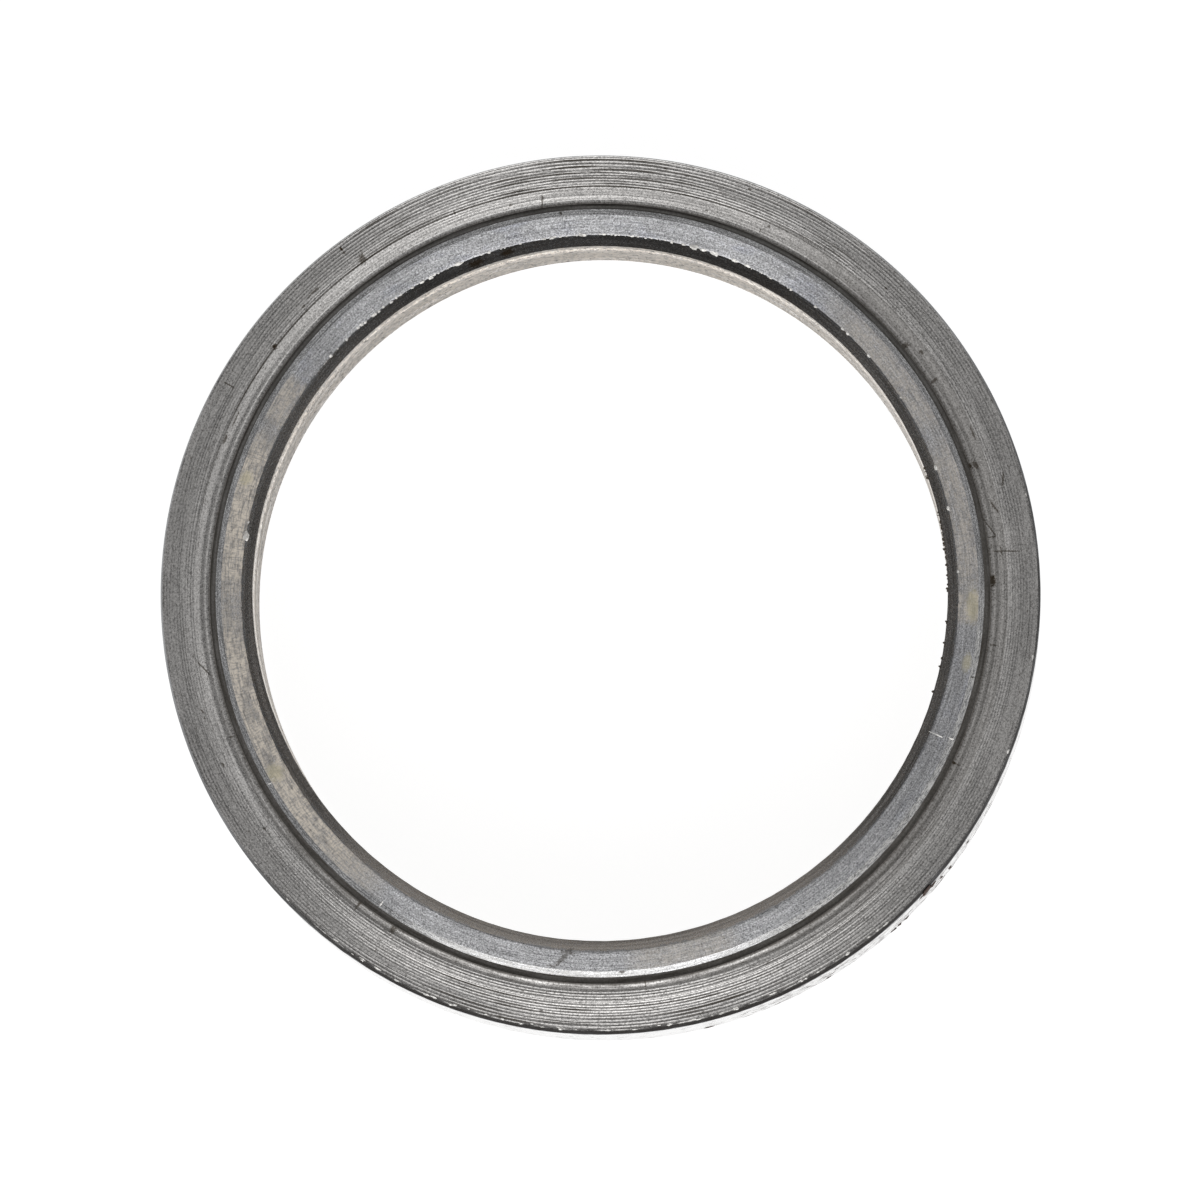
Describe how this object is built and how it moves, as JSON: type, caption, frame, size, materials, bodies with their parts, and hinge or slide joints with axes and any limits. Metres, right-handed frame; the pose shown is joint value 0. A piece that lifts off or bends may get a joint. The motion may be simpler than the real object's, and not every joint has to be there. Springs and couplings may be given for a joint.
{
  "type": "seal sleeve",
  "caption": "Short turned steel sleeve with a press-on bore, a straight outer running surface and a raised land inside a narrow groove on one end.",
  "frame": {"origin": "centre of the bottom end, on the bore's axis", "axes": "+Z along the bore's axis, from the plain bottom end towards the end with the land and groove"},
  "size_m": [0.0697, 0.0696, 0.022],
  "materials": {
    "turned_steel": "as turned, with coarse tool marks on the outer face"
  },
  "bodies": {
    "root": {"seal_sleeve": "turned_steel"}
  },
  "joints": []
}
